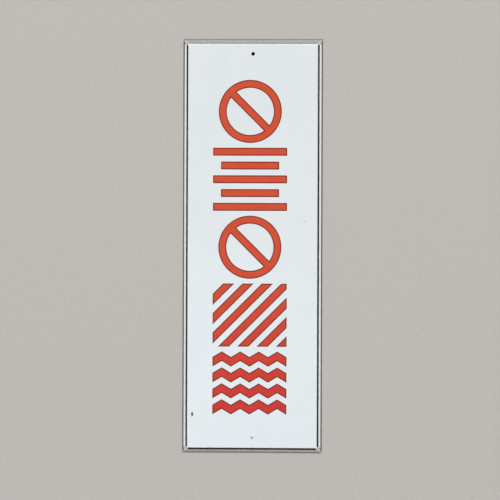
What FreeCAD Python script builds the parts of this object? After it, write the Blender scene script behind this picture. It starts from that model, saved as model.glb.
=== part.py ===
import FreeCAD, Part
import Sketcher
import os

# A flat wall sign, one piece of white plastic, upright in its own frame.
# +Z is up, +X is to the right, the printed face looks towards -Y and the
# back lies in the plane Y = 0. The origin is on the back, midway between
# the two fixing holes. All sizes are in millimetres.

doc = FreeCAD.newDocument("no_smoking_sign")

# Driving sizes
DRIVING = [
    ("plate_width", "100.0", "across the plate, over its rim"),
    ("plate_height", "300.0", "up the plate, over its rim"),
    ("edge_thickness", "0.8", "thickness of the plate at its outer edge"),
    ("rim_rise", "0.3", "how much the rim climbs from the outer edge to its crest"),
    ("face_rise", "0.9", "how far the printed face stands in front of the rim's crest"),
    ("rim_width", "2.7", "from the outer edge to the wall of the raised face"),
    ("crest_width", "0.15", "flat crest between the slope of the rim and the groove"),
    ("groove_width", "0.8", "shadow groove at the foot of the face's wall"),
    ("groove_depth", "0.5", "depth of the groove below the rim's crest"),
    ("groove_stop", "0.7", "how far each groove ends before the corner of the face"),
    ("face_edge_radius", "0.25", "rounding along the front edge of the raised face"),
    ("rim_edge_radius", "0.15", "rounding where the slope of the rim meets the outer edge"),
    ("hole_diameter", "2.4", "fixing hole, drilled right through"),
    ("hole_margin", "10.0", "from the end of the plate to the middle of the hole"),
    ("mouth_bevel", "0.15", "broken edge at the mouth of each hole"),
]

# Sizes that follow from them
DERIVED = [
    ("crest_thickness", "=edge_thickness + rim_rise", "from the back to the rim's crest"),
    ("face_thickness", "=crest_thickness + face_rise", "from the back to the printed face"),
    ("slope_width", "=rim_width - groove_width - crest_width", "across the slope of the rim"),
    ("face_width", "=plate_width - 2 * rim_width", "across the raised face"),
    ("face_length", "=plate_height - 2 * rim_width", "up the raised face"),
    ("side_groove_length", "=face_length - 2 * groove_stop", "up the groove beside the face"),
    ("end_groove_length", "=face_width - 2 * groove_stop", "along the groove at its ends"),
    ("side_groove_offset", "=(face_width + groove_width) / 2", "from the middle to that groove"),
    ("end_groove_offset", "=(face_length + groove_width) / 2", "from the middle to that groove"),
    ("hole_offset", "=plate_height / 2 - hole_margin", "from the middle to a fixing hole"),
]

# Two places closer than this are the same place
TOUCH = 1e-5

sheet = doc.addObject("Spreadsheet::Sheet", "Sizes")
for row, (alias, content, note) in enumerate(DRIVING + DERIVED, start=1):
    sheet.set(f"A{row}", alias)
    sheet.set(f"B{row}", content)
    sheet.set(f"C{row}", note)
    sheet.setAlias(f"B{row}", alias)
doc.recompute()


def size(alias):
    return float(sheet.get(alias))


# Sketches on the front

# Which point of a line or a circle a constraint takes
START, END, CENTRE = range(1, 4)

# The origin, as a point that every sketch has
ORIGIN = (-1, START)


def origin_plane(body, role):
    for plane in body.Origin.OriginFeatures:
        if plane.Role == role:
            return plane
    raise RuntimeError(f"{body.Name} has no {role}")


def front_sketch(body, name, thickness=None):
    """A sketch seen from the front of the sign: its x is +X and its y is +Z.

    It lies on the back, or in front of the back by the named thickness.
    """
    sketch = body.newObject("Sketcher::SketchObject", name)
    sketch.AttachmentSupport = [(origin_plane(body, "XZ_Plane"), "")]
    sketch.MapMode = "FlatFace"
    if thickness:
        sketch.setExpression("AttachmentOffset.Base.z", f"Sizes.{thickness}")
    return sketch


def dimension(sketch, constraint, alias):
    """Adds a driving dimension and binds it to the size of that alias."""
    index = sketch.addConstraint(constraint)
    sketch.renameConstraint(index, alias)
    sketch.setExpression(f"Constraints.{alias}", f"Sizes.{alias}")


def place_point(sketch, point, right=None, up=None):
    """Ties a point to the origin, or to a place right of it or above it by a named size."""
    if right:
        sketch.addConstraint(Sketcher.Constraint("Horizontal", *ORIGIN, *point))
        across = Sketcher.Constraint("DistanceX", *ORIGIN, *point, size(right))
        dimension(sketch, across, right)
    elif up:
        sketch.addConstraint(Sketcher.Constraint("Vertical", *ORIGIN, *point))
        above = Sketcher.Constraint("DistanceY", *ORIGIN, *point, size(up))
        dimension(sketch, above, up)
    else:
        sketch.addConstraint(Sketcher.Constraint("Coincident", *point, *ORIGIN))


def rectangle(sketch, width, length, right=None, up=None):
    """A rectangle of two named sizes, its middle placed as place_point says."""
    middle = FreeCAD.Vector(size(right) if right else 0, size(up) if up else 0, 0)
    across = FreeCAD.Vector(size(width) / 2, 0, 0)
    along = FreeCAD.Vector(0, size(length) / 2, 0)
    corners = [
        middle - across - along,
        middle + across - along,
        middle + across + along,
        middle - across + along,
    ]
    for start, end in zip(corners, corners[1:] + corners[:1]):
        sketch.addGeometry(Part.LineSegment(start, end), False)
    for side, direction in enumerate(["Horizontal", "Vertical", "Horizontal", "Vertical"]):
        joint = (side, END, (side + 1) % 4, START)
        sketch.addConstraint(Sketcher.Constraint("Coincident", *joint))
        sketch.addConstraint(Sketcher.Constraint(direction, side))
    centre = (sketch.addGeometry(Part.Point(middle), True), START)
    opposite = (0, START, 2, START)
    sketch.addConstraint(Sketcher.Constraint("Symmetric", *opposite, *centre))
    place_point(sketch, centre, right, up)
    bottom = (0, START, 0, END)
    dimension(sketch, Sketcher.Constraint("DistanceX", *bottom, size(width)), width)
    side = (1, START, 1, END)
    dimension(sketch, Sketcher.Constraint("DistanceY", *side, size(length)), length)


def circle(sketch, diameter, up):
    """A circle of a named diameter, above the origin by a named size."""
    middle = FreeCAD.Vector(0, size(up), 0)
    normal = FreeCAD.Vector(0, 0, 1)
    ring = sketch.addGeometry(Part.Circle(middle, normal, size(diameter) / 2), False)
    place_point(sketch, (ring, CENTRE), up=up)
    dimension(sketch, Sketcher.Constraint("Diameter", ring, size(diameter)), diameter)


# Features of the body


def feature(body, kind, name, **values):
    """One PartDesign feature. A value such as "Sizes.rim_rise" is bound to the sheet."""
    made = body.newObject(f"PartDesign::{kind}", name)
    made.Refine = True
    for key, value in values.items():
        if isinstance(value, str) and value.startswith("Sizes."):
            made.setExpression(key, value)
        else:
            setattr(made, key, value)
    doc.recompute()
    return made


def mirrored(body, name, original, role):
    """The same feature again, on the other side of one of the body's origin planes."""
    plane = (origin_plane(body, role), [""])
    made = feature(body, "Mirrored", name, Originals=[original], MirrorPlane=plane)
    body.Tip = made
    return made


def edges_at(made, thickness, kind):
    """The straight or round edges of a feature that lie wholly at that named thickness."""
    names = []
    for number, edge in enumerate(made.Shape.Edges, start=1):
        box = edge.BoundBox
        level = max(abs(box.YMin + size(thickness)), abs(box.YMax + size(thickness)))
        if level < TOUCH and isinstance(edge.Curve, kind):
            names.append(f"Edge{number}")
    return made, names


# Slab as thick as the rim's crest, then the slope of the rim, mitred at its corners
body = doc.addObject("PartDesign::Body", "SignPlate")
body.Label = "sign_plate"
slab_outline = front_sketch(body, "SlabOutline")
rectangle(slab_outline, "plate_width", "plate_height")
slab = feature(body, "Pad", "Slab", Profile=slab_outline, Length="Sizes.crest_thickness")
slope = feature(
    body,
    "Chamfer",
    "RimSlope",
    Base=edges_at(slab, "crest_thickness", Part.Line),
    ChamferType="Two distances",
    Size="Sizes.rim_rise",
    Size2="Sizes.slope_width",
)

# Raised face, padded from the back so that its wall runs down to the groove
face_outline = front_sketch(body, "FaceOutline")
rectangle(face_outline, "face_width", "face_length")
face = feature(body, "Pad", "RaisedFace", Profile=face_outline, Length="Sizes.face_thickness")

# Shadow grooves at the foot of that wall, one pair up the sides and one pair at the ends
side_outline = front_sketch(body, "SideGrooveOutline", "crest_thickness")
rectangle(side_outline, "groove_width", "side_groove_length", right="side_groove_offset")
side_groove = feature(body, "Pocket", "SideGroove", Profile=side_outline, Length="Sizes.groove_depth")
side_grooves = mirrored(body, "SideGrooves", side_groove, "YZ_Plane")
end_outline = front_sketch(body, "EndGrooveOutline", "crest_thickness")
rectangle(end_outline, "end_groove_length", "groove_width", up="end_groove_offset")
end_groove = feature(body, "Pocket", "EndGroove", Profile=end_outline, Length="Sizes.groove_depth")
end_grooves = mirrored(body, "EndGrooves", end_groove, "XY_Plane")

# Fixing holes, drilled from the front, the same at the top and the bottom
hole_outline = front_sketch(body, "FixingHoleOutline", "face_thickness")
circle(hole_outline, "hole_diameter", up="hole_offset")
doc.recompute()
hole = feature(
    body,
    "Hole",
    "FixingHole",
    Profile=hole_outline,
    DepthType="ThroughAll",
    Diameter="Sizes.hole_diameter",
)
holes = mirrored(body, "FixingHoles", hole, "XY_Plane")

# Broken mouths of the holes, and the rounded edges of the face and of the rim
mouths = feature(
    body,
    "Chamfer",
    "HoleMouths",
    Base=edges_at(holes, "face_thickness", Part.Circle),
    Size="Sizes.mouth_bevel",
)
face_edge = feature(
    body,
    "Fillet",
    "FaceEdge",
    Base=edges_at(mouths, "face_thickness", Part.Line),
    Radius="Sizes.face_edge_radius",
)
rim_edge = feature(
    body,
    "Fillet",
    "RimEdge",
    Base=edges_at(face_edge, "edge_thickness", Part.Line),
    Radius="Sizes.rim_edge_radius",
)
body.Tip = rim_edge
doc.recompute()

# Checks: every object is sound, and each cut took material away
for item in doc.Objects:
    if "Invalid" in item.State or "Error" in item.State:
        raise RuntimeError(f"{item.Label} failed: {item.getStatusString()}")
for cut in (slope, side_groove, side_grooves, end_groove, end_grooves, hole, holes, mouths):
    if cut.Shape.Volume >= cut.BaseFeature.Shape.Volume:
        raise RuntimeError(f"{cut.Label} cuts nothing")
if body.Shape.isNull() or not body.Shape.isValid() or len(body.Shape.Solids) != 1:
    raise RuntimeError(f"{body.Label} is not one sound solid")

os.makedirs("parts", exist_ok=True)
body.Shape.exportStep(f"parts/{body.Label}.step")
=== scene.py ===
import math

import bmesh
import bpy
from mathutils import Matrix, Vector, geometry


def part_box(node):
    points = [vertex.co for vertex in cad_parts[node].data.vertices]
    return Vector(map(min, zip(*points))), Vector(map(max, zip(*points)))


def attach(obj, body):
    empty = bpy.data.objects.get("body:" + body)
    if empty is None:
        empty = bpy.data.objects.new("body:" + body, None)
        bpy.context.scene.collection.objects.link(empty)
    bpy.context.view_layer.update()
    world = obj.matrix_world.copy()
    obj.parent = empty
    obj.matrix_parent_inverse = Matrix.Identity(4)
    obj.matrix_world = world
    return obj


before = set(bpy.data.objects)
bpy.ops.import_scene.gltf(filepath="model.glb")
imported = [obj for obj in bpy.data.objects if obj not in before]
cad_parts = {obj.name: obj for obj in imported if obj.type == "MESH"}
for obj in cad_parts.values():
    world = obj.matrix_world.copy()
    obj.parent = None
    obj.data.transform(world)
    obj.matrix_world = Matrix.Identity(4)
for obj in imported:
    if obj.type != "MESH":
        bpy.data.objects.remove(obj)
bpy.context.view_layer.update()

MM = 0.001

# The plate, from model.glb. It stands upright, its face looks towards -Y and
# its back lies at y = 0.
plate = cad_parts["sign_plate"]
low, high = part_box("sign_plate")
HALF_WIDTH = high.x
HALF_HEIGHT = high.z
FACE_Y = low.y

# The stepped edge, inwards from the outer edge of the plate
RIM_WIDTH = 2.7 * MM
GROOVE_WIDTH = 0.8 * MM
GROOVE_STOP = 0.7 * MM
CREST_WIDTH = 0.15 * MM
CREST_THICKNESS = 1.1 * MM
FACE_HALF_WIDTH = HALF_WIDTH - RIM_WIDTH
FACE_HALF_HEIGHT = HALF_HEIGHT - RIM_WIDTH

# The fixing holes
HOLE_RADIUS = 1.2 * MM
HOLE_MARGIN = 10 * MM
HOLE_HEIGHT = HALF_HEIGHT - HOLE_MARGIN

# The print: five figures, one above the other, a little left of the middle
FIGURES = 5
FIGURE_WIDTH = 54 * MM
FIGURE_HEIGHT = 46 * MM
FIGURE_PITCH = 49.5 * MM
PRINT_MIDDLE = Vector((-1.9 * MM, -1.0 * MM))
STROKE = 5.8 * MM

# What the figures are made of. The slope of a zigzag is its rise for each
# length that it runs.
RING_STEPS = 128
LEVEL_BARS = 5
STRIPE_PITCH = STROKE * 1.72
SMALLEST_STRIPE = STROKE**2 / 2
ZIGZAG_BANDS = 4
ZIGZAG_PEAKS = 4
ZIGZAG_STROKE = STROKE * math.sqrt(2) * 0.86
ZIGZAG_SLOPE = 0.6

# The film of ink: how far it stands proud, how deep it is keyed into the
# face, and the bevelled bead along its outline. The bead is dark up to a
# share of the film's height.
INK_HEIGHT = 0.03 * MM
INK_KEY = 0.01 * MM
BEAD_WIDTH = 1.05 * MM
BEAD_HEIGHT = 0.015 * MM
BEAD_DARK = 0.75

# Small marks on the face, as the photo shows them: how far right of the
# middle and how far up, half width, half height and how dark, from 0 to 1
MARKS = [
    (-43.6 * MM, -123.0 * MM, 0.78 * MM, 1.45 * MM, 1.0),
    (-6.2 * MM, 138.4 * MM, 0.7 * MM, 0.6 * MM, 0.16),
    (-20.7 * MM, 135.5 * MM, 0.6 * MM, 0.9 * MM, 0.12),
    (37.9 * MM, 17.7 * MM, 0.7 * MM, 0.8 * MM, 0.20),
    (43.7 * MM, -16.3 * MM, 0.6 * MM, 0.6 * MM, 0.16),
    (45.3 * MM, -20.3 * MM, 0.5 * MM, 0.8 * MM, 0.14),
]

# Colours, linear. The red is its deepest below the given height.
# The face runs from WHITE_TOP to WHITE_BOTTOM: painted shade at the top, painted light
# at the foot
WHITE_TOP = (0.770, 0.815, 0.842)
WHITE_BOTTOM = (0.800, 0.862, 0.905)
WHITE_BACK = (0.770, 0.790, 0.785)
# A painted highlight on the top edge of the face
HIGHLIGHT_WHITE = (0.93, 0.93, 0.90)
SCUFF = (0.52, 0.55, 0.56)
RIM_GREY = (0.80, 0.81, 0.785)
# The rim is darker at the top, and painted shade darkens it at the foot
RIM_DARK_TOP_SHADED_FOOT = (0.43, 0.42, 0.395)
# Dirt and painted shade on the outer edge
EDGE_DIRT_AND_SHADE = (0.085, 0.082, 0.075)
# Grime for the marks, and painted shade in the grooves, at the upper hole and on the
# wall
GRIME_AND_SHADE = (0.008, 0.010, 0.008)
RED_TOP = (0.662, 0.070, 0.021)
RED_BOTTOM = (0.640, 0.028, 0.018)
RED_BOTTOM_HEIGHT = -0.87 * HALF_HEIGHT
RED_BEAD = (0.19, 0.010, 0.006)

# The two values that noise mostly lies between
NOISE_RANGE = (0.3, 0.7)


class NodeTree:
    """A tree of shader nodes that is built from sockets and values."""

    def __init__(self, tree):
        self.tree = tree
        tree.nodes.clear()

    def add(self, kind, sockets=(), **settings):
        """One node. sockets gives its inputs by name or number: values or outputs."""
        made = self.tree.nodes.new(kind)
        for key, value in settings.items():
            setattr(made, key, value)
        for key, value in dict(sockets).items():
            if isinstance(value, bpy.types.NodeSocket):
                self.tree.links.new(value, made.inputs[key])
            elif made.inputs[key].type == "RGBA":
                made.inputs[key].default_value = (*value, 1)
            else:
                made.inputs[key].default_value = value
        return made

    def math(self, operation, *values):
        return self.add(
            "ShaderNodeMath", dict(enumerate(values)), operation=operation
        ).outputs["Value"]

    def mix_shaders(self, factor, first, second):
        """The first shader where the factor is 0, and the second where it is 1."""
        return self.add(
            "ShaderNodeMixShader", {0: factor, 1: first, 2: second}
        ).outputs["Shader"]

    def backdrop_ray(self):
        """1 for a ray that shows the backdrop, straight or in a gloss, 0 for light."""
        rays = self.add("ShaderNodeLightPath").outputs
        gloss, glass = rays["Is Glossy Ray"], rays["Is Transmission Ray"]
        mirrored = self.math("MAXIMUM", gloss, glass)
        return self.math("MAXIMUM", rays["Is Camera Ray"], mirrored)


class Material(NodeTree):
    """A node material, with the object's own coordinates as sockets."""

    def __init__(self, name):
        self.block = bpy.data.materials.new(name)
        self.block.use_nodes = True
        super().__init__(self.block.node_tree)
        self.coordinates = self.add("ShaderNodeTexCoord").outputs["Object"]
        self.x, self.y, self.z = self.add(
            "ShaderNodeSeparateXYZ", {"Vector": self.coordinates}
        ).outputs

    def ramp(self, value, start, end, to_start=0.0, to_end=1.0):
        """Goes smoothly from to_start at start to to_end at end."""
        sockets = {"Value": value, "From Min": start, "From Max": end}
        sockets.update({"To Min": to_start, "To Max": to_end})
        made = self.add("ShaderNodeMapRange", sockets, interpolation_type="SMOOTHSTEP")
        return made.outputs["Result"]

    def band(self, value, start, end, soft):
        """1 between start and end, and 0 past a soft edge on both sides."""
        inside = self.ramp(value, start - soft, start)
        outside = self.ramp(value, end, end + soft, 1.0, 0.0)
        return self.math("MULTIPLY", inside, outside)

    def past(self, coordinate, limit):
        """How far a point lies beyond the limit, on either side of the middle."""
        return self.math("SUBTRACT", self.math("ABSOLUTE", coordinate), limit)

    def reach(self, right, up, half_width, half_height):
        """How far a point is from a round mark, where 1 is the mark's own outline."""
        across = self.math("DIVIDE", self.math("SUBTRACT", self.x, right), half_width)
        along = self.math("DIVIDE", self.math("SUBTRACT", self.z, up), half_height)
        squared = self.math("MULTIPLY", across, across)
        return self.math("SQRT", self.math("MULTIPLY_ADD", along, along, squared))

    def noise(self, size, detail=3.0, stretch=(1, 1, 1)):
        """Noise with features of that size, in metres."""
        scaled = self.add(
            "ShaderNodeVectorMath",
            {0: self.coordinates, 1: [part / size for part in stretch]},
            operation="MULTIPLY",
        ).outputs["Vector"]
        return self.add(
            "ShaderNodeTexNoise", {"Vector": scaled, "Scale": 1.0, "Detail": detail}
        ).outputs["Fac"]

    def vary(self, size, lowest, highest, detail=3.0):
        """A value that wanders between two others, in patches of that size."""
        return self.ramp(self.noise(size, detail), *NOISE_RANGE, lowest, highest)

    def mix(self, factor, first, second):
        """The first colour where the factor is 0, and the second where it is 1."""
        made = self.add(
            "ShaderNodeMix", {0: factor, 6: first, 7: second}, data_type="RGBA"
        )
        return made.outputs[2]

    def shade(self, factor, colour):
        """The colour times a brightness that varies over the surface."""
        made = self.add(
            "ShaderNodeVectorMath", {0: colour, "Scale": factor}, operation="SCALE"
        )
        return made.outputs["Vector"]

    def bump(self, height, distance, normal=None):
        """A normal bent by a height, on top of another normal if one is given."""
        sockets = {"Height": height, "Distance": distance}
        if normal:
            sockets["Normal"] = normal
        return self.add("ShaderNodeBump", sockets).outputs["Normal"]

    def finish(self, shader):
        """Makes the shader the material's surface, and gives the material."""
        self.add("ShaderNodeOutputMaterial", {"Surface": shader})
        return self.block

    def surface(self, **sockets):
        """The principled shader. Base_Color stands for its socket Base Color."""
        named = {name.replace("_", " "): value for name, value in sockets.items()}
        return self.finish(self.add("ShaderNodeBsdfPrincipled", named).outputs["BSDF"])


# Materials of the sign


class PlateZones:
    """Masks from 0 to 1 that say which part of the plate a point lies on."""

    def __init__(self, made):
        depth = made.math("MULTIPLY", made.y, -1.0)
        past_side = made.past(made.x, FACE_HALF_WIDTH)
        past_end = made.past(made.z, FACE_HALF_HEIGHT)
        past_top = made.math("SUBTRACT", made.z, FACE_HALF_HEIGHT)
        past_face = made.math("MAXIMUM", past_side, past_end)
        self.height = made.ramp(made.z, -HALF_HEIGHT, HALF_HEIGHT)
        self.back = made.ramp(depth, 0.02 * MM, 0.05 * MM, 1.0, 0.0)
        self.lip = made.band(past_face, -0.4 * MM, 0.0, 0.1 * MM)
        self.upper_lip_highlight = made.band(past_top, -0.9 * MM, 0.1 * MM, 0.3 * MM)
        self.rim = made.ramp(past_face, 0.0, 0.1 * MM)
        self.end_rim = made.ramp(past_end, -1.0 * MM, 0.0)
        self.upper_rim = made.ramp(past_top, -1.0 * MM, 0.0)
        edge_dark_start, edge_dark_end = RIM_WIDTH - 0.3 * MM, RIM_WIDTH - 0.05 * MM
        self.cut_edge = made.ramp(past_face, edge_dark_start, edge_dark_end)

        # A painted highlight where two slopes of the rim meet
        off_mitre = made.math("ABSOLUTE", made.math("SUBTRACT", past_side, past_end))
        self.mitre_highlight = made.ramp(off_mitre, 0.1 * MM, 0.6 * MM, 0.8, 0.0)

        # Painted shade in the grooves and beside them, an uneven dark band that lies
        # a little lower at the foot. None is painted along the top, which the light
        # reaches, nor at the corner, where the grooves stop short.
        wander = made.vary(2.5 * MM, -0.06 * MM, 0.06 * MM)
        lower_rim = made.math("SUBTRACT", self.end_rim, self.upper_rim)
        place = made.math("MULTIPLY_ADD", lower_rim, -0.1 * MM, past_face)
        place = made.math("ADD", place, wander)
        outer = GROOVE_WIDTH + CREST_WIDTH + 0.3 * MM
        ring = made.band(place, -0.6 * MM, outer, 0.05 * MM)
        sunk = made.ramp(depth, CREST_THICKNESS, CREST_THICKNESS + 0.1 * MM, 1.0, 0.0)
        nearest = made.math("MINIMUM", past_side, past_end)
        corner = made.ramp(nearest, -1.3 * GROOVE_STOP, -0.9 * GROOVE_STOP)
        unshaded = made.math("MAXIMUM", self.upper_rim, corner)
        shaded = made.math("SUBTRACT", 1.0, unshaded)
        self.groove_shade = made.math("MULTIPLY", made.math("MULTIPLY", ring, sunk), shaded)


def face_colour(made, zones):
    """White, painted darker at the top and lighter and bluer at the foot, with a few
    marks, nicked edges and a painted highlight along the top edge.
    """
    # Painted shade at the top and painted light at the foot
    colour = made.mix(zones.height, WHITE_BOTTOM, WHITE_TOP)
    colour = made.shade(made.vary(70 * MM, 0.985, 1.01, 2.0), colour)
    flecks = made.ramp(made.noise(1.8 * MM), 0.70, 0.76, 0.0, 0.25)
    colour = made.mix(flecks, colour, SCUFF)
    ragged = made.vary(0.6 * MM, -0.35, 0.35, 2.0)
    for right, up, half_width, half_height, darkness in MARKS:
        reach = made.reach(right, up, half_width, half_height)
        reach = made.math("ADD", reach, ragged)
        colour = made.mix(made.ramp(reach, 0.7, 1.2, darkness, 0.0), colour, GRIME_AND_SHADE)
    nicks = made.noise(1.3 * MM, stretch=(0.4, 1, 0.4))
    nicks = made.math("MULTIPLY", zones.lip, made.ramp(nicks, 0.52, 0.62, 0.0, 0.5))
    colour = made.mix(nicks, colour, SCUFF)
    # A painted highlight in patches along the top edge of the face
    highlight_patches = made.noise(2.2 * MM, 4.0, stretch=(0.5, 1, 1))
    highlight_patches = made.ramp(highlight_patches, 0.38, 0.58, 0.25, 1.0)
    return made.mix(made.math("MULTIPLY", zones.upper_lip_highlight, highlight_patches), colour, HIGHLIGHT_WHITE)


def rim_colour(made, zones):
    """Greyer, darker and mottled along the top, with painted shade along the foot and
    painted highlights where the slopes meet at the corners.
    """
    dust = made.math("SUBTRACT", made.vary(1.1 * MM, 0.0, 1.0, 4.0), 0.6)
    contrast = made.ramp(zones.end_rim, 0.0, 1.0, 0.12, 0.34)
    # Darker along the top, painted shade along the foot
    colour = made.mix(zones.end_rim, RIM_GREY, RIM_DARK_TOP_SHADED_FOOT)
    colour = made.shade(made.math("MULTIPLY_ADD", dust, contrast, 1.0), colour)
    # Painted highlight along the mitres at the corners
    return made.mix(zones.mitre_highlight, colour, WHITE_TOP)


def back_colour(made):
    """Plain, with a dull bloom and light upright rubbing."""
    bloom = made.vary(25 * MM, 0.97, 1.02, 4.0)
    rubbed = made.noise(1.5 * MM, stretch=(1, 1, 0.08))
    rubbed = made.ramp(rubbed, 0.55, 0.75, 1.0, 0.93)
    return made.shade(made.math("MULTIPLY", bloom, rubbed), WHITE_BACK)


def white_plastic():
    """Satin white plastic: a face with few marks, a greyer rim, and painted shade in
    the grooves.
    """
    made = Material("white_plastic")
    zones = PlateZones(made)
    colour = made.mix(zones.rim, face_colour(made, zones), rim_colour(made, zones))
    # Painted shade in the grooves
    colour = made.mix(zones.groove_shade, colour, GRIME_AND_SHADE)

    # Dirt and painted shade darken the outer edge in patches, less so at the top
    patches = made.ramp(made.noise(4 * MM, 4.0), 0.35, 0.6, 0.2, 0.5)
    share = made.ramp(zones.upper_rim, 0.0, 1.0, 1.0, 0.35)
    dirt_and_shade = made.math("MULTIPLY", zones.cut_edge, made.math("MULTIPLY", patches, share))
    colour = made.mix(dirt_and_shade, colour, EDGE_DIRT_AND_SHADE)

    # Painted shade darkens the mouth of the upper hole too
    mouth = made.reach(0.0, HOLE_HEIGHT, HOLE_RADIUS, HOLE_RADIUS)
    colour = made.mix(made.ramp(mouth, 1.04, 1.17, 1.0, 0.0), colour, GRIME_AND_SHADE)
    colour = made.mix(zones.back, colour, back_colour(made))

    # A faint ripple and orange peel, duller on the rim and the back
    ripple = made.bump(made.noise(9 * MM, 1.0), 0.02 * MM)
    peel = made.bump(made.noise(0.7 * MM, 2.0), 0.004 * MM, normal=ripple)
    dull = made.math("MAXIMUM", zones.rim, zones.back)
    rough = made.math("MULTIPLY_ADD", dull, 0.2, made.vary(6 * MM, 0.36, 0.46, 4.0))
    return made.surface(Base_Color=colour, Roughness=rough, Normal=peel)


def red_ink():
    """Red printing ink, deeper at the foot, with a dark bead along its outline."""
    made = Material("red_ink")
    red = made.mix(made.ramp(made.z, RED_BOTTOM_HEIGHT, 0.0), RED_BOTTOM, RED_TOP)
    red = made.shade(made.vary(1.6 * MM, 0.95, 1.04, 4.0), red)
    proud = made.math("SUBTRACT", FACE_Y, made.y)
    bead = made.ramp(proud, BEAD_DARK * INK_HEIGHT, INK_HEIGHT, 1.0, 0.0)
    return made.surface(
        Base_Color=made.mix(bead, red, RED_BEAD),
        Roughness=made.vary(5 * MM, 0.38, 0.50),
        Normal=made.bump(made.noise(0.9 * MM), 0.003 * MM),
        Specular_IOR_Level=0.25,
    )


# Outlines of the print, in the plane of the face. x runs to the right and y
# up. A region is a list of loops: its outline first, then its holes.


def arc(radius, start, end, steps):
    """Points on a circle round the origin."""
    turns = [start + (end - start) * step / steps for step in range(steps + 1)]
    return [
        Vector((radius * math.cos(turn), radius * math.sin(turn))) for turn in turns
    ]


def prohibition_ring():
    """A ring with a bar across it from the upper left to the lower right."""
    outer = FIGURE_HEIGHT / 2
    inner = outer - STROKE
    reach = math.asin(STROKE / 2 / inner)
    outline = arc(outer, 0, 2 * math.pi, RING_STEPS)[:-1]
    half = arc(inner, reach, math.pi - reach, RING_STEPS // 2)
    upper = Matrix.Rotation(-math.pi / 4, 2)
    lower = Matrix.Rotation(-math.pi / 4 + math.pi, 2)
    holes = [[turn @ point for point in half] for turn in (upper, lower)]
    return [[outline, *holes]]


def rectangle(left, bottom, right, top):
    corners = [(left, bottom), (right, bottom), (right, top), (left, top)]
    return [Vector(corner) for corner in corners]


def level_bars():
    """Level bars, every other one shorter."""
    gap = (FIGURE_HEIGHT - LEVEL_BARS * STROKE) / (LEVEL_BARS - 1)
    bars = []
    for number in range(LEVEL_BARS):
        half = FIGURE_WIDTH / 2 - (number % 2) * STROKE
        bottom = number * (STROKE + gap) - FIGURE_HEIGHT / 2
        bars.append([rectangle(-half, bottom, half, bottom + STROKE)])
    return bars


def area(loop):
    """The area inside a loop, negative where the loop runs clockwise."""
    pairs = zip(loop, loop[1:] + loop[:1])
    return sum(here.x * after.y - after.x * here.y for here, after in pairs) / 2


def cut(loop, axis, limit, side):
    """The part of a loop where side times (coordinate - limit) isn't negative."""
    kept = []
    for here, after in zip(loop, loop[1:] + loop[:1]):
        depth_here = side * (here[axis] - limit)
        depth_after = side * (after[axis] - limit)
        if depth_here >= 0:
            kept.append(here)
        if depth_here * depth_after < 0:
            kept.append(here.lerp(after, depth_here / (depth_here - depth_after)))
    return kept


def slanted_stripes():
    """Stripes that rise to the right, one of them right into the figure's corner.

    The edges of the figure cut them off square. What is left of a stripe at a
    corner is dropped where it is too small to read as one.
    """
    step = STRIPE_PITCH * math.sqrt(2)
    half_stripe = STROKE * math.sqrt(2) / 2
    half_width = FIGURE_WIDTH / 2
    half_height = FIGURE_HEIGHT / 2
    count = math.ceil((half_width + half_height) / step)
    stripes = []
    for number in range(-count, count + 1):
        middle = half_width - half_height + number * step
        foot = middle - half_height
        head = middle + half_height
        loop = [
            Vector((foot - half_stripe, -half_height)),
            Vector((foot + half_stripe, -half_height)),
            Vector((head + half_stripe, half_height)),
            Vector((head - half_stripe, half_height)),
        ]
        loop = cut(cut(loop, 0, -half_width, 1), 0, half_width, -1)
        if len(loop) > 2 and abs(area(loop)) > SMALLEST_STRIPE:
            stripes.append([loop])
    return stripes


def zigzag_bands():
    """Level zigzag bands, one above the other."""
    run = FIGURE_WIDTH / (2 * ZIGZAG_PEAKS)
    swing = run * ZIGZAG_SLOPE
    spare = FIGURE_HEIGHT - ZIGZAG_STROKE - swing
    bands = []
    for number in range(ZIGZAG_BANDS):
        bottom = -FIGURE_HEIGHT / 2 + spare * number / (ZIGZAG_BANDS - 1)
        lower = [
            Vector((-FIGURE_WIDTH / 2 + run * turn, bottom + swing * (turn % 2)))
            for turn in range(2 * ZIGZAG_PEAKS + 1)
        ]
        upper = [point + Vector((0, ZIGZAG_STROKE)) for point in reversed(lower)]
        bands.append([lower + upper])
    return bands


def inset(loop, distance):
    """The loop moved to its left by a distance, with mitred corners."""
    moved = []
    for before, here, after in zip(loop[-1:] + loop[:-1], loop, loop[1:] + loop[:1]):
        first = (here - before).normalized()
        second = (after - here).normalized()
        normals = Vector((-first.y, first.x)), Vector((-second.y, second.x))
        bisector = normals[0] + normals[1]
        moved.append(here + bisector * (distance / (1 + normals[0].dot(normals[1]))))
    return moved


def turned(loop, anticlockwise):
    """The loop, run round in the way that is asked for."""
    return loop if (area(loop) > 0) == anticlockwise else loop[::-1]


# The films of ink


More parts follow.
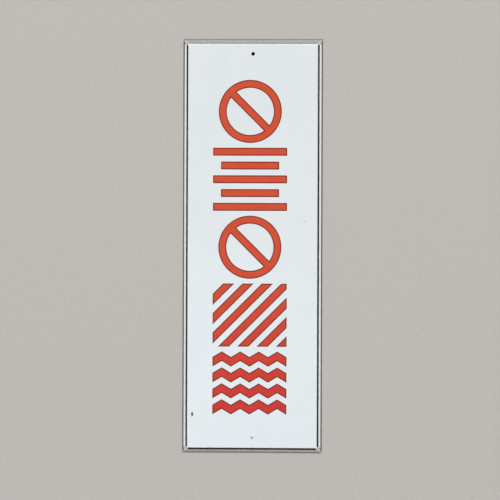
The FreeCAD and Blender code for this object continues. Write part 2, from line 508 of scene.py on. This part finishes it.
def film_mesh(name, region, middle):
    """A thin closed mesh in the shape of a region, its front edge bevelled."""
    loops = [turned(loop, number == 0) for number, loop in enumerate(region)]
    insets = [inset(loop, BEAD_WIDTH) for loop in loops]
    made = bmesh.new()

    def ring(loop, y):
        return [
            made.verts.new((point.x + middle.x, y, point.y + middle.y))
            for point in loop
        ]

    def cap(rings, outlines, towards_front):
        flat = [vertex for one in rings for vertex in one]
        whole = [range(len(flat))]
        pieces = geometry.tessellate_polygon(outlines) if len(rings) > 1 else whole
        for corners in pieces:
            face = made.faces.new([flat[corner] for corner in corners])
            face.normal_update()
            if (face.normal.y < 0) != towards_front:
                face.normal_flip()

    def wall(lower, upper):
        for number, vertex in enumerate(lower):
            after = (number + 1) % len(lower)
            made.faces.new([vertex, lower[after], upper[after], upper[number]])

    foot = [ring(loop, FACE_Y + INK_KEY) for loop in loops]
    edge = [ring(loop, FACE_Y - BEAD_HEIGHT) for loop in loops]
    top = [ring(loop, FACE_Y - INK_HEIGHT) for loop in insets]
    for below, middle_ring, above in zip(foot, edge, top):
        wall(below, middle_ring)
        wall(middle_ring, above)
    cap(top, insets, True)
    cap(foot, loops, False)
    mesh = bpy.data.meshes.new(name)
    bmesh.ops.recalc_face_normals(made, faces=made.faces)
    made.to_mesh(mesh)
    made.free()
    return mesh


def ink_film(name, region, middle, material):
    """A film of ink in the shape of a region, keyed into the face."""
    mesh = film_mesh(name, region, middle)
    mesh.materials.append(material)
    piece = bpy.data.objects.new(name, mesh)
    bpy.context.collection.objects.link(piece)
    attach(piece, "root")


def print_figures(material):
    """The five figures from the top down, every region a film of its own."""
    figures = [
        ("ring_upper", prohibition_ring()),
        ("level_bars", level_bars()),
        ("ring_middle", prohibition_ring()),
        ("slanted_stripes", slanted_stripes()),
        ("zigzag_bands", zigzag_bands()),
    ]
    for number, (name, regions) in enumerate(figures):
        rise = ((FIGURES - 1) / 2 - number) * FIGURE_PITCH
        middle = PRINT_MIDDLE + Vector((0, rise))
        for count, region in enumerate(regions, start=1):
            title = f"print_{name}_{count}" if len(regions) > 1 else f"print_{name}"
            ink_film(title, region, middle, material)


# Stage: a pale wall right behind the sign, seen from the front only, a pale
# floor far below it and a plain backdrop

WALL_COLOUR = (0.545, 0.52, 0.495)
# Painted light on the wall behind the lower hole
PAINTED_LIGHT_BEHIND_LOWER_HOLE = (0.62, 0.66, 0.68)
WALL_GAP = 0.05 * MM
WALL_SIZE = 12.0
FLOOR_COLOUR = (0.72, 0.70, 0.67)
FLOOR_HEIGHT = -1.3
FLOOR_SIZE = 60.0
BACKDROP_COLOUR = (0.53, 0.51, 0.49)
BACKDROP_SHARE = 0.8
SKY_COLOUR = (0.97, 0.99, 1.0)
SKY_STRENGTH = 0.3225

# Lamps: name, place, width and height in metres, power in watts
LAMPS = [
    ("key", (0.3, -2.6, 4.2), 2.2, 1.3, 154),
    ("fill", (-0.8, -4.0, -0.6), 2.4, 2.4, 44),
    ("back_light", (0.8, 3.2, 2.6), 2.4, 2.0, 125),
]


def stage_plane(name, material, size, turn, place):
    """A square plane of that size, turned about X."""
    mesh = bpy.data.meshes.new(name)
    half = size / 2
    corners = [(-half, -half, 0), (half, -half, 0), (half, half, 0), (-half, half, 0)]
    mesh.from_pydata(corners, [], [(0, 1, 2, 3)])
    mesh.materials.append(material)
    plane = bpy.data.objects.new(name, mesh)
    plane.matrix_world = Matrix.Translation(place) @ Matrix.Rotation(turn, 4, "X")
    bpy.context.collection.objects.link(plane)
    return plane


def matt(made, colour):
    return made.add("ShaderNodeBsdfDiffuse", {"Color": colour}).outputs["BSDF"]


def wall_paint():
    """Matt pale grey, and clear from behind so that the sign's back can be seen.

    The plane is turned upright, so its own x is to the right and its own y is up.
    """
    made = Material("wall_paint")
    colour = made.shade(made.vary(2.2 * MM, 0.975, 1.025, 4.0), WALL_COLOUR)
    # Painted shade behind the upper hole and painted light behind the lower one
    for up, painted_hole_tone in [(HOLE_HEIGHT, GRIME_AND_SHADE), (-HOLE_HEIGHT, PAINTED_LIGHT_BEHIND_LOWER_HOLE)]:
        to_hole = made.add(
            "ShaderNodeVectorMath",
            {0: made.coordinates, 1: (0, up, 0)},
            operation="DISTANCE",
        ).outputs["Value"]
        spot = made.ramp(to_hole, HOLE_RADIUS, 1.2 * HOLE_RADIUS, 1.0, 0.0)
        colour = made.mix(spot, colour, painted_hole_tone)

    # A painted contact shadow on the wall round the sign, stronger at its sides
    past_end = made.past(made.y, HALF_HEIGHT)
    past_edge = made.math("MAXIMUM", made.past(made.x, HALF_WIDTH), past_end)
    contact_shadow = made.band(past_edge, 0.15 * MM, 0.8 * MM, 0.3 * MM)
    strength = made.ramp(past_end, -2 * MM, 0.0, 0.76, 0.45)
    colour = made.mix(made.math("MULTIPLY", contact_shadow, strength), colour, GRIME_AND_SHADE)

    clear = made.add("ShaderNodeBsdfTransparent").outputs["BSDF"]
    behind = made.add("ShaderNodeNewGeometry").outputs["Backfacing"]
    return made.finish(made.mix_shaders(behind, matt(made, colour), clear))


def floor_paint():
    """Matt and pale, and seen mostly in the colour of the backdrop behind it."""
    made = Material("floor_paint")
    colour = made.shade(made.vary(30 * MM, 0.98, 1.02), FLOOR_COLOUR)
    even = made.add("ShaderNodeEmission", {"Color": BACKDROP_COLOUR})
    share = made.math("MULTIPLY", made.backdrop_ray(), BACKDROP_SHARE)
    paint = matt(made, colour)
    return made.finish(made.mix_shaders(share, paint, even.outputs["Emission"]))


def set_stage():
    upright = math.pi / 2
    wall = stage_plane("wall", wall_paint(), WALL_SIZE, upright, (0, WALL_GAP, 0))
    wall.visible_diffuse = False
    wall.visible_glossy = False
    wall.visible_shadow = False
    stage_plane("floor", floor_paint(), FLOOR_SIZE, 0, (0, 0, FLOOR_HEIGHT))


def area_light(name, place, width, height, power):
    """A soft rectangular lamp that looks at the middle of the sign."""
    lamp = bpy.data.lights.new(name, "AREA")
    lamp.shape = "RECTANGLE"
    lamp.size = width
    lamp.size_y = height
    lamp.energy = power
    made = bpy.data.objects.new(name, lamp)
    made.location = place
    made.rotation_euler = (-Vector(place)).to_track_quat("-Z", "Y").to_euler()
    bpy.context.collection.objects.link(made)


def set_world():
    """A soft even sky for the light, and a plain backdrop for what is seen."""
    world = bpy.data.worlds.new("studio")
    bpy.context.scene.world = world
    world.use_nodes = True
    made = NodeTree(world.node_tree)

    def background(colour, strength):
        sockets = {"Color": colour, "Strength": strength}
        return made.add("ShaderNodeBackground", sockets).outputs["Background"]

    sky = background(SKY_COLOUR, SKY_STRENGTH)
    backdrop = background(BACKDROP_COLOUR, 1.0)
    seen = made.mix_shaders(made.backdrop_ray(), sky, backdrop)
    made.add("ShaderNodeOutputWorld", {"Surface": seen})


# Camera: a long lens, a touch to the right of the sign and rolled by a hair.
# A pixel is that wide at the face of the sign.

CAMERA_DISTANCE = 1.9
CAMERA_AZIMUTH = math.radians(2.0)
CAMERA_ROLL = math.radians(0.2)
FARTHEST_SEEN = 50
IMAGE_SIZE = 500
PIXEL = 0.729 * MM
SIGN_MIDDLE_PIXEL = Vector((252.45, 245.85))


def set_camera():
    """The camera, with the middle of the sign at its place in the picture."""
    camera = bpy.data.cameras.new("camera")
    view_width = IMAGE_SIZE * PIXEL
    camera.lens = camera.sensor_width * CAMERA_DISTANCE / view_width
    camera.clip_end = FARTHEST_SEEN
    offset = (SIGN_MIDDLE_PIXEL - Vector((IMAGE_SIZE / 2, IMAGE_SIZE / 2))) * PIXEL
    back = Vector((math.sin(CAMERA_AZIMUTH), -math.cos(CAMERA_AZIMUTH), 0))
    level = (-back).to_track_quat("-Z", "Y").to_matrix()
    turn = level @ Matrix.Rotation(CAMERA_ROLL, 3, "Z")
    aim = turn @ Vector((-offset.x, offset.y, 0)) + Vector((0, FACE_Y, 0))
    made = bpy.data.objects.new("camera", camera)
    made.matrix_world = Matrix.Translation(aim + back * CAMERA_DISTANCE) @ turn.to_4x4()
    bpy.context.collection.objects.link(made)
    bpy.context.scene.camera = made


plate.data.materials.clear()
plate.data.materials.append(white_plastic())
print_figures(red_ink())
set_stage()
for settings in LAMPS:
    area_light(*settings)
set_world()
set_camera()
bpy.context.scene.view_settings.view_transform = "Standard"
